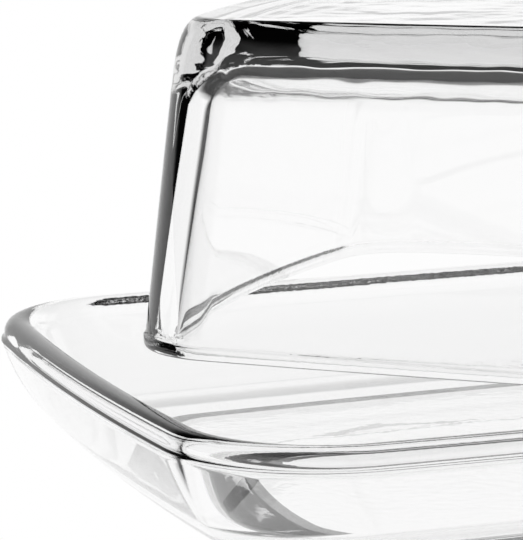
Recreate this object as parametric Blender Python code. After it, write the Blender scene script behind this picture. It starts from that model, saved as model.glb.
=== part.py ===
"""Butter dish: a clear pressed-glass tray and its loose cover, which lies turned across the long rims.

Metres, +Z up, +X along the tray. The origin is the middle of the tray's flat underside.
"""

import math

import bmesh
import bpy

MM = 0.001

# Tray, as seen from above and in height
DISH_LENGTH = 190 * MM
DISH_WIDTH = 124 * MM
DISH_CORNER = 23.5 * MM
DISH_BOW = 1.4 * MM  # how far each side swells past a straight line
DISH_HEIGHT = 24.0 * MM
DISH_FLOOR = 8.8 * MM  # top of the thick pressed bottom
FOOT_INSET = 22 * MM
BEAD_HEIGHT = 20.9 * MM  # the mould seam, the widest line of the tray
BEAD_PROUD = 0.5 * MM
RIM_WIDTH = 5.0 * MM
RIM_CROWN = 2.7 * MM  # inset of the highest line of the rounded rim
RIM_DEPTH = 3.0 * MM  # how far the rim rounds down on its inner side
WELL_CORNER = (9.8 * MM, DISH_FLOOR + 3.2 * MM)  # where the wall turns into the floor

# Cover
LID_LENGTH = 150 * MM
LID_WIDTH = 109 * MM
LID_CORNER = 14.5 * MM
LID_END_BOW = 3.3 * MM
LID_SIDE_BOW = 1.6 * MM
LID_HEIGHT = 48.9 * MM
LID_WALL = 4.5 * MM
LID_TOP = 6.5 * MM
LID_DRAFT = 6.9  # degrees
LID_SEAM = 2.1 * MM  # height of the mould seam above the cover's edge
LID_SHOULDER = 41.0 * MM  # where the outside wall starts to round over
LID_INNER_SHOULDER = 35.0 * MM

# How the cover rests on the tray
LID_TURN = -41.3  # degrees about Z
LID_CENTRE = (3.1 * MM, -0.5 * MM)
REST_GAP = 0.3 * MM

# Facets
CORNER_STEPS = 9
END_STEPS = 6
SIDE_STEPS = 8
CURVE_STEPS = 5


def arc(centre, radius, start, stop, steps):
    """Points on an arc, leaving out the last, which starts the next arc."""
    angles = [start + (stop - start) * i / steps for i in range(steps)]
    return [(centre[0] + radius * math.cos(a), centre[1] + radius * math.sin(a)) for a in angles]


def bowed_rectangle(length, width, corner, end_bow, side_bow):
    """A rounded rectangle whose sides are slight arcs that run smoothly into the corners."""
    along = length / 2 - corner - end_bow
    across = width / 2 - corner - side_bow
    side_radius = (along**2 + side_bow**2) / (2 * side_bow)
    end_radius = (across**2 + end_bow**2) / (2 * end_bow)
    side_angle = math.asin(along / side_radius)
    end_angle = math.asin(across / end_radius)
    end_middle = along + end_bow - end_radius
    side_middle = across + side_bow - side_radius
    points = []
    for turn, x_sign in ((0, 1), (math.pi, -1)):
        # One end, the corner after it, one long side and the corner after that
        points += arc((x_sign * end_middle, 0), end_radius + corner,
                      turn - end_angle, turn + end_angle, END_STEPS)
        points += arc((x_sign * along, x_sign * across), corner,
                      turn + end_angle, turn + math.pi / 2 - side_angle, CORNER_STEPS)
        points += arc((0, x_sign * side_middle), side_radius + corner,
                      turn + math.pi / 2 - side_angle, turn + math.pi / 2 + side_angle, SIDE_STEPS)
        points += arc((-x_sign * along, x_sign * across), corner,
                      turn + math.pi / 2 + side_angle, turn + math.pi - end_angle, CORNER_STEPS)
    return points


def curve(start, pull, end, steps=CURVE_STEPS):
    """A quadratic curve from start to end that leaves and arrives in the direction of pull."""
    return [tuple((1 - t) ** 2 * a + 2 * t * (1 - t) * b + t**2 * c for a, b, c in zip(start, pull, end))
            for t in (i / steps for i in range(steps + 1))]


def loft(name, profile, outline_at, material):
    """Stacks one outline per (inset, height) of the profile and caps the first and the last."""
    mesh = bmesh.new()
    rings = [[mesh.verts.new((x, y, height)) for x, y in outline_at(inset)] for inset, height in profile]
    for lower, upper in zip(rings, rings[1:]):
        for i in range(len(lower)):
            j = (i + 1) % len(lower)
            mesh.faces.new((lower[i], lower[j], upper[j], upper[i]))
    mesh.faces.new(list(reversed(rings[0])))
    mesh.faces.new(rings[-1])
    bmesh.ops.recalc_face_normals(mesh, faces=mesh.faces)
    data = bpy.data.meshes.new(name)
    mesh.to_mesh(data)
    mesh.free()
    data.polygons.foreach_set("use_smooth", [True] * len(data.polygons))
    data.set_sharp_from_angle(angle=math.radians(40))
    data.materials.append(material)
    obj = bpy.data.objects.new(name, data)
    bpy.context.scene.collection.objects.link(obj)
    return obj


def glass(name):
    material = bpy.data.materials.new(name)
    material.use_nodes = True
    shader = material.node_tree.nodes["Principled BSDF"]
    shader.inputs["Base Color"].default_value = (0.93, 0.96, 0.95, 1)
    shader.inputs["Roughness"].default_value = 0.02
    shader.inputs["IOR"].default_value = 1.52
    shader.inputs["Transmission Weight"].default_value = 1
    return material


def dish_profile():
    """From the edge of the flat foot, up the outside, over the rim and down to the edge of the floor."""
    bead = (0, BEAD_HEIGHT)
    rim = BEAD_PROUD + RIM_WIDTH
    wall_top = (rim + 0.15 * MM, DISH_HEIGHT - RIM_DEPTH)
    flank = curve((FOOT_INSET, 0), (5 * MM, 5 * MM), bead, 8)
    seam = [(BEAD_PROUD, BEAD_HEIGHT + BEAD_PROUD)]
    outer_edge = curve((BEAD_PROUD, DISH_HEIGHT - 2.2 * MM), (BEAD_PROUD, DISH_HEIGHT),
                       (RIM_CROWN, DISH_HEIGHT), 4)
    inner_edge = curve((RIM_CROWN, DISH_HEIGHT), (rim, DISH_HEIGHT), wall_top)
    wall = curve(wall_top, (7.4 * MM, 15 * MM), WELL_CORNER, 4)
    fillet = curve(WELL_CORNER, (10.8 * MM, DISH_FLOOR), (13 * MM, DISH_FLOOR))
    return flank + seam + outer_edge + inner_edge[1:] + wall[1:] + fillet[1:]


def lid_profile():
    """From the edge of the flat top, down the outside, round the bottom edge and up to the ceiling."""
    lean = math.tan(math.radians(LID_DRAFT))
    step_in = 0.3 * MM
    ceiling = LID_HEIGHT - LID_TOP

    def outside(height):
        return step_in + lean * (height - LID_SEAM)

    def inside(height):
        return LID_WALL + lean * height

    shoulder = curve((outside(LID_HEIGHT) + 2.7 * MM, LID_HEIGHT), (outside(LID_HEIGHT), LID_HEIGHT),
                     (outside(LID_SHOULDER), LID_SHOULDER), 6)
    seam = [(outside(LID_SEAM + step_in), LID_SEAM + step_in), (0, LID_SEAM - step_in)]
    bottom = curve((0, 0.9 * MM), (0, 0), (0.9 * MM, 0), 3)
    inner_bottom = curve((LID_WALL - 0.6 * MM, 0), (LID_WALL, 0), (inside(0.8 * MM), 0.8 * MM), 3)
    inner_shoulder = curve((inside(LID_INNER_SHOULDER), LID_INNER_SHOULDER), (inside(ceiling), ceiling),
                           (inside(ceiling) + 6.5 * MM, ceiling), 6)
    return shoulder + seam + bottom + inner_bottom + inner_shoulder


def corner_at(inset, corner, wall):
    """Corners stay parallel through the wall's thickness and tighten more slowly further in."""
    return corner - min(inset, wall) - max(inset - wall, 0) / 2


def dish_outline(inset):
    corner = corner_at(inset, DISH_CORNER, BEAD_PROUD + RIM_WIDTH)
    return bowed_rectangle(DISH_LENGTH - 2 * inset, DISH_WIDTH - 2 * inset, corner, DISH_BOW, DISH_BOW)


def lid_outline(inset):
    corner = corner_at(inset, LID_CORNER, LID_WALL)
    return bowed_rectangle(LID_LENGTH - 2 * inset, LID_WIDTH - 2 * inset, corner,
                           LID_END_BOW, LID_SIDE_BOW)


for old in list(bpy.data.objects):
    bpy.data.objects.remove(old, do_unlink=True)

dish = loft("dish", dish_profile(), dish_outline, glass("dish_glass"))
lid = loft("lid", lid_profile(), lid_outline, glass("lid_glass"))
lid.rotation_euler = (0, 0, math.radians(LID_TURN))
lid.location = (*LID_CENTRE, DISH_HEIGHT + REST_GAP)
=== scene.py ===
"""Looks for the butter dish: clear pressed glass on a white table, lit from behind."""

import math

import bmesh
import bpy
from mathutils import Matrix


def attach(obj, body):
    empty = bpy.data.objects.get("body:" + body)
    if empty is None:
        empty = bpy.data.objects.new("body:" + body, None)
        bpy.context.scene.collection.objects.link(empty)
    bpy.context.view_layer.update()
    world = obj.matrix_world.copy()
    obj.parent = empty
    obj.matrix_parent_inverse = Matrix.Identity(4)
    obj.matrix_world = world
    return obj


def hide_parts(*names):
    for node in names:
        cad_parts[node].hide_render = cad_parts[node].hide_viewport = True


MM = 0.001

# Tray
DISH_LENGTH = 190 * MM
DISH_WIDTH = 124 * MM
DISH_CORNER = 23.5 * MM
DISH_BOW = 1.4 * MM
DISH_HEIGHT = 24.0 * MM
DISH_FLOOR = 8.8 * MM
FOOT_INSET = 22 * MM
BEAD_HEIGHT = 20.9 * MM
BEAD_PROUD = 0.5 * MM
RIM_WIDTH = 5.0 * MM
RIM_CROWN = 2.7 * MM
RIM_DEPTH = 3.0 * MM
WELL_CORNER = (9.8 * MM, DISH_FLOOR + 3.2 * MM)

# Cover
LID_LENGTH = 150 * MM
LID_WIDTH = 109 * MM
LID_CORNER = 14.5 * MM
LID_END_BOW = 3.3 * MM
LID_SIDE_BOW = 1.6 * MM
LID_HEIGHT = 48.9 * MM
LID_WALL = 4.5 * MM
LID_TOP = 6.5 * MM
LID_DRAFT = 6.9  # degrees
LID_SEAM = 2.1 * MM
LID_SHOULDER = 41.0 * MM
LID_INNER_SHOULDER = 35.0 * MM
LID_TURN = -41.3  # degrees about Z
LID_CENTRE = (3.1 * MM, -0.5 * MM)
REST_GAP = 0.3 * MM
LID_BASE = DISH_HEIGHT + REST_GAP

# Glass
GLASS_IOR = 1.52
GLASS_ABSORPTION = 3.5  # per metre

# Waves in the glass: stretch per metre, detail, height in metres, the heights between which the wave
# fades in, and the share of it left on level faces
DISH_WAVES = (((55, 55, 55), 1, 0.00004, -1, -0.5, 1),
              ((1400, 1400, 1400), 1, 0.00001, 21.2 * MM, 22.2 * MM, 1),
              ((500, 500, 60), 1, 0.00001, 12 * MM, 4 * MM, 1))
LID_WAVES = (((55, 55, 55), 1, 0.00004, -1, -0.5, 1),
             ((60, 60, 160), 2, 0.0004, LID_BASE + 36 * MM, LID_BASE + 40 * MM, 0.2),
             ((1400, 1400, 1400), 1, 0.00003, LID_BASE + 3 * MM, LID_BASE + 2.2 * MM, 1))

# Studio. A strength of 1 is white
TABLE_RADIUS = 4
TABLE_DROP = 0.2 * MM  # the table lies this far below the foot
# The painted shadow ring under the edge of the foot: how far it lies below the foot, its width and its dim
# glow
SHADOW_RING_DROP = 0.1 * MM
SHADOW_RING_WIDTH = 2.6 * MM
SHADOW_RING_LIGHT = 0.12
SIDE_LIGHT = 0.025
SIDE_EDGE = (0.35, 0.5)  # share of a direction that points forward or back, from dark side to backdrop
CEILING_LIGHT = 0.02
CEILING_EDGE = (0.3, 0.55)  # upward share of a direction, from backdrop to dark ceiling
MOST_BOUNCES = 40
MOST_GLOSSY = 7  # paths that reflect more often inside the glass stay dark

# Camera
AIM = (-33.0 * MM, 86.4 * MM, 20.9 * MM)
AZIMUTH = -20.27  # degrees, as are the next two
ELEVATION = 9.78
ROLL = 0.64
DISTANCE = 504.4 * MM
LENS = 187.9  # mm, on a sensor 36 mm wide
SENSOR = 36

# Facets
CORNER_STEPS = 32
END_STEPS = 24
SIDE_STEPS = 40


def arc(centre, radius, start, stop, steps):
    """Points on an arc, leaving out the last, which starts the next arc."""
    angles = [start + (stop - start) * i / steps for i in range(steps)]
    return [(centre[0] + radius * math.cos(a), centre[1] + radius * math.sin(a)) for a in angles]


def bowed_rectangle(length, width, corner, end_bow, side_bow):
    """A rounded rectangle whose sides are slight arcs that run smoothly into the corners."""
    along = length / 2 - corner - end_bow
    across = width / 2 - corner - side_bow
    side_radius = (along**2 + side_bow**2) / (2 * side_bow)
    end_radius = (across**2 + end_bow**2) / (2 * end_bow)
    side_angle = math.asin(along / side_radius)
    end_angle = math.asin(across / end_radius)
    end_middle = along + end_bow - end_radius
    side_middle = across + side_bow - side_radius
    points = []
    for turn, x_sign in ((0, 1), (math.pi, -1)):
        points += arc((x_sign * end_middle, 0), end_radius + corner,
                      turn - end_angle, turn + end_angle, END_STEPS)
        points += arc((x_sign * along, x_sign * across), corner,
                      turn + end_angle, turn + math.pi / 2 - side_angle, CORNER_STEPS)
        points += arc((0, x_sign * side_middle), side_radius + corner,
                      turn + math.pi / 2 - side_angle, turn + math.pi / 2 + side_angle, SIDE_STEPS)
        points += arc((-x_sign * along, x_sign * across), corner,
                      turn + math.pi / 2 + side_angle, turn + math.pi - end_angle, CORNER_STEPS)
    return points


def curve(start, pull, end, steps):
    """A quadratic curve from start to end that leaves and arrives in the direction of pull."""
    return [tuple((1 - t) ** 2 * a + 2 * t * (1 - t) * b + t**2 * c for a, b, c in zip(start, pull, end))
            for t in (i / steps for i in range(steps + 1))]


def add_object(name, mesh, material):
    data = bpy.data.meshes.new(name)
    mesh.to_mesh(data)
    mesh.free()
    data.materials.append(material)
    obj = bpy.data.objects.new(name, data)
    bpy.context.scene.collection.objects.link(obj)
    return obj


def loft(name, profile, outline_at, material):
    """Stacks one outline per (inset, height) of the profile and caps the first and the last."""
    mesh = bmesh.new()
    rings = [[mesh.verts.new((x, y, height)) for x, y in outline_at(inset)] for inset, height in profile]
    for lower, upper in zip(rings, rings[1:]):
        for i in range(len(lower)):
            j = (i + 1) % len(lower)
            mesh.faces.new((lower[i], lower[j], upper[j], upper[i]))
    mesh.faces.new(list(reversed(rings[0])))
    mesh.faces.new(rings[-1])
    bmesh.ops.recalc_face_normals(mesh, faces=mesh.faces)
    obj = add_object(name, mesh, material)
    obj.data.polygons.foreach_set("use_smooth", [True] * len(obj.data.polygons))
    return obj


def dish_profile():
    """From inside the edge of the foot, up the outside, over the rim and down to the floor."""
    rim = BEAD_PROUD + RIM_WIDTH
    wall_top = (rim + 0.15 * MM, DISH_HEIGHT - RIM_DEPTH)
    foot = [(FOOT_INSET + 4 * MM, 0), (FOOT_INSET + 0.5 * MM, 0)]
    flank = curve((FOOT_INSET, 0), (5 * MM, 5 * MM), (0.1 * MM, BEAD_HEIGHT - 0.15 * MM), 36)
    bead = curve((0, BEAD_HEIGHT), (0, BEAD_HEIGHT + 0.3 * MM),
                 (BEAD_PROUD - 0.1 * MM, BEAD_HEIGHT + 0.4 * MM), 6)
    outer_edge = curve((BEAD_PROUD, DISH_HEIGHT - 2.2 * MM), (BEAD_PROUD, DISH_HEIGHT),
                       (RIM_CROWN, DISH_HEIGHT), 14)
    inner_edge = curve((RIM_CROWN, DISH_HEIGHT), (rim, DISH_HEIGHT), wall_top, 16)
    wall = curve(wall_top, (7.4 * MM, 15 * MM), WELL_CORNER, 14)
    fillet = curve(WELL_CORNER, (10.8 * MM, DISH_FLOOR), (13 * MM, DISH_FLOOR), 20)
    floor = [(13.5 * MM, DISH_FLOOR), (18 * MM, DISH_FLOOR)]
    return foot + flank + bead + outer_edge + inner_edge[1:] + wall[1:] + fillet[1:] + floor


def lid_profile():
    """From inside the edge of the top, down the outside, round the bottom edge and up to the ceiling."""
    lean = math.tan(math.radians(LID_DRAFT))
    step_in = 0.3 * MM
    ceiling = LID_HEIGHT - LID_TOP

    def outside(height):
        return step_in + lean * (height - LID_SEAM)

    def inside(height):
        return LID_WALL + lean * height

    top = [(outside(LID_HEIGHT) + 7 * MM, LID_HEIGHT), (outside(LID_HEIGHT) + 3.2 * MM, LID_HEIGHT)]
    shoulder = curve((outside(LID_HEIGHT) + 2.7 * MM, LID_HEIGHT), (outside(LID_HEIGHT), LID_HEIGHT),
                     (outside(LID_SHOULDER), LID_SHOULDER), 24)
    wall = [(outside(h * MM), h * MM) for h in (38, 30, 20, 10, 4)]
    seam = curve((outside(LID_SEAM + 0.5 * MM), LID_SEAM + 0.5 * MM), (outside(LID_SEAM), LID_SEAM),
                 (0, LID_SEAM - 0.3 * MM), 6)
    bottom = curve((0, 0.9 * MM), (0, 0), (0.9 * MM, 0), 8)
    inner_bottom = curve((LID_WALL - 0.6 * MM, 0), (LID_WALL, 0), (inside(0.8 * MM), 0.8 * MM), 8)
    inner_wall = [(inside(h * MM), h * MM) for h in (4, 10, 20, 30)]
    inner_shoulder = curve((inside(LID_INNER_SHOULDER), LID_INNER_SHOULDER), (inside(ceiling), ceiling),
                           (inside(ceiling) + 6.5 * MM, ceiling), 24)
    top_inside = [(inside(ceiling) + 7 * MM, ceiling), (inside(ceiling) + 12 * MM, ceiling)]
    return top + shoulder + wall + seam + bottom + inner_bottom + inner_wall + inner_shoulder + top_inside


def corner_at(inset, corner, wall):
    """Corners stay parallel through the wall's thickness and tighten more slowly further in."""
    return corner - min(inset, wall) - max(inset - wall, 0) / 2


def dish_outline(inset):
    corner = corner_at(inset, DISH_CORNER, BEAD_PROUD + RIM_WIDTH)
    return bowed_rectangle(DISH_LENGTH - 2 * inset, DISH_WIDTH - 2 * inset, corner, DISH_BOW, DISH_BOW)


def lid_outline(inset):
    corner = corner_at(inset, LID_CORNER, LID_WALL)
    return bowed_rectangle(LID_LENGTH - 2 * inset, LID_WIDTH - 2 * inset, corner,
                           LID_END_BOW, LID_SIDE_BOW)


def link(tree, output, socket):
    tree.links.new(output, socket)
    return socket.node


def calculate(tree, operation, *values):
    node = tree.nodes.new("ShaderNodeMath")
    node.operation = operation
    for socket, value in zip(node.inputs, values):
        if isinstance(value, (int, float)):
            socket.default_value = value
        else:
            link(tree, value, socket)
    return node.outputs[0]


def ramp(tree, value, start, stop, low, high):
    """Eases from low to high while value goes from start to stop."""
    node = tree.nodes.new("ShaderNodeMapRange")
    node.interpolation_type = "SMOOTHSTEP"
    link(tree, value, node.inputs["Value"])
    for name, setting in (("From Min", start), ("From Max", stop), ("To Min", low), ("To Max", high)):
        node.inputs[name].default_value = setting
    return node.outputs["Result"]


def noise(tree, place, stretch, detail):
    """Noise with its own scale along each axis, from -0.5 to 0.5."""
    scaled = tree.nodes.new("ShaderNodeVectorMath")
    scaled.operation = "MULTIPLY"
    scaled.inputs[1].default_value = stretch
    link(tree, place, scaled.inputs[0])
    node = tree.nodes.new("ShaderNodeTexNoise")
    node.inputs["Scale"].default_value = 1
    node.inputs["Detail"].default_value = detail
    link(tree, scaled.outputs[0], node.inputs["Vector"])
    return calculate(tree, "SUBTRACT", node.outputs["Fac"], 0.5)


def glass(name, waves):
    """Clear glass with a bump that adds up the waves."""
    material = bpy.data.materials.new(name)
    material.use_nodes = True
    tree = material.node_tree
    shader = tree.nodes["Principled BSDF"]
    shader.inputs["Base Color"].default_value = (1, 1, 1, 1)
    shader.inputs["Roughness"].default_value = 0.0
    shader.inputs["IOR"].default_value = GLASS_IOR
    shader.inputs["Transmission Weight"].default_value = 1
    place = tree.nodes.new("ShaderNodeTexCoord").outputs["Object"]
    parts = tree.nodes.new("ShaderNodeSeparateXYZ")
    link(tree, place, parts.inputs[0])
    normal = tree.nodes.new("ShaderNodeSeparateXYZ")
    link(tree, tree.nodes.new("ShaderNodeNewGeometry").outputs["True Normal"], normal.inputs[0])
    level = calculate(tree, "ABSOLUTE", normal.outputs[2])
    total = 0
    for stretch, detail, height, low, high, left in waves:
        wave = calculate(tree, "MULTIPLY", noise(tree, place, stretch, detail), height)
        wave = calculate(tree, "MULTIPLY", wave, ramp(tree, parts.outputs[2], low, high, 0, 1))
        wave = calculate(tree, "MULTIPLY", wave, ramp(tree, level, 0.97, 0.999, 1, left))
        total = calculate(tree, "ADD", wave, total)
    bump = tree.nodes.new("ShaderNodeBump")
    bump.inputs["Strength"].default_value = 1
    bump.inputs["Distance"].default_value = 1
    link(tree, total, bump.inputs["Height"])
    link(tree, bump.outputs["Normal"], shader.inputs["Normal"])
    body = tree.nodes.new("ShaderNodeVolumeAbsorption")
    body.inputs["Color"].default_value = (0, 0, 0, 1)
    body.inputs["Density"].default_value = GLASS_ABSORPTION
    link(tree, body.outputs["Volume"], tree.nodes["Material Output"].inputs["Volume"])
    return material


def emissive(name, strength):
    material = bpy.data.materials.new(name)
    material.use_nodes = True
    tree = material.node_tree
    tree.nodes.clear()
    light = tree.nodes.new("ShaderNodeEmission")
    light.inputs["Color"].default_value = (1, 1, 1, 1)
    light.inputs["Strength"].default_value = strength
    link(tree, light.outputs[0], tree.nodes.new("ShaderNodeOutputMaterial").inputs["Surface"])
    return material


def flat_ring(name, outer, inner, height, material):
    """The level strip between two outlines that have the same number of points."""
    mesh = bmesh.new()
    edges = [[mesh.verts.new((x, y, height)) for x, y in outline] for outline in (outer, inner)]
    for i in range(len(outer)):
        j = (i + 1) % len(outer)
        mesh.faces.new((edges[0][i], edges[0][j], edges[1][j], edges[1][i]))
    return add_object(name, mesh, material)


def studio_world():
    """White in front and behind, dark at both sides and overhead, so that edges are drawn in dark lines."""
    world = bpy.data.worlds.new("studio")
    world.use_nodes = True
    tree = world.node_tree
    direction = tree.nodes.new("ShaderNodeTexCoord").outputs["Generated"]
    parts = tree.nodes.new("ShaderNodeSeparateXYZ")
    link(tree, direction, parts.inputs[0])
    forward = tree.nodes.new("ShaderNodeVectorMath")
    forward.operation = "DOT_PRODUCT"
    link(tree, direction, forward.inputs[0])
    turn = math.radians(AZIMUTH)
    forward.inputs[1].default_value = (-math.sin(turn), math.cos(turn), 0)
    height = parts.outputs["Z"]
    slope = calculate(tree, "SUBTRACT", 1, calculate(tree, "MULTIPLY", height, height))
    level = calculate(tree, "SQRT", calculate(tree, "MAXIMUM", slope, 0.0001))
    facing = calculate(tree, "ABSOLUTE", calculate(tree, "DIVIDE", forward.outputs["Value"], level))
    backdrop = ramp(tree, facing, *SIDE_EDGE, SIDE_LIGHT, 1.0)
    overhead = ramp(tree, height, *CEILING_EDGE, 1.0, CEILING_LIGHT)
    background = tree.nodes["Background"]
    background.inputs["Color"].default_value = (1, 1, 1, 1)
    link(tree, calculate(tree, "MULTIPLY", backdrop, overhead), background.inputs["Strength"])
    return world


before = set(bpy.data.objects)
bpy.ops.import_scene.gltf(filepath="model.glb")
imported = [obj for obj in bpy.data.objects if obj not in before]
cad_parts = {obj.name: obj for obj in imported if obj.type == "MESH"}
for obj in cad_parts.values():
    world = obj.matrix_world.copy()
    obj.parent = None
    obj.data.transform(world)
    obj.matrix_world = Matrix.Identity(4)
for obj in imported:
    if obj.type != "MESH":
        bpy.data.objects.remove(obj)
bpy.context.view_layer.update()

dish = loft("dish_pressed", dish_profile(), dish_outline, glass("dish_glass_look", DISH_WAVES))
lid = loft("lid_pressed", lid_profile(), lid_outline, glass("lid_glass_look", LID_WAVES))
lid.data.transform(Matrix.Translation((*LID_CENTRE, LID_BASE))
                   @ Matrix.Rotation(math.radians(LID_TURN), 4, "Z"))
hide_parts("dish")
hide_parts("lid")
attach(dish, "dish")
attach(lid, "lid")

# A white table, and a painted shadow on it: a thin dimly glowing dark ring under the edge of the foot,
# which draws a dark line seen through the glass
bpy.ops.mesh.primitive_circle_add(vertices=96, radius=TABLE_RADIUS, fill_type="NGON",
                                  location=(0, 0, -TABLE_DROP))
table = bpy.context.object
table.name = "table"
table.data.materials.append(emissive("table_white", 1.0))
painted_shadow_ring = flat_ring("painted_shadow_ring", dish_outline(FOOT_INSET), dish_outline(FOOT_INSET + SHADOW_RING_WIDTH),
                    -SHADOW_RING_DROP, emissive("painted_shadow_ring_dark", SHADOW_RING_LIGHT))

bpy.context.scene.world = studio_world()

camera_data = bpy.data.cameras.new("camera")
camera_data.lens = LENS
camera_data.sensor_width = SENSOR
camera = bpy.data.objects.new("camera", camera_data)
bpy.context.scene.collection.objects.link(camera)
camera.matrix_world = (Matrix.Translation(AIM)
                       @ Matrix.Rotation(math.radians(AZIMUTH), 4, "Z")
                       @ Matrix.Rotation(math.radians(90 - ELEVATION), 4, "X")
                       @ Matrix.Rotation(math.radians(-ROLL), 4, "Z")
                       @ Matrix.Translation((0, 0, DISTANCE)))
bpy.context.scene.camera = camera
bpy.context.scene.view_settings.view_transform = "Standard"
bpy.context.scene.cycles.max_bounces = MOST_BOUNCES
bpy.context.scene.cycles.glossy_bounces = MOST_GLOSSY
bpy.context.scene.cycles.transmission_bounces = MOST_BOUNCES
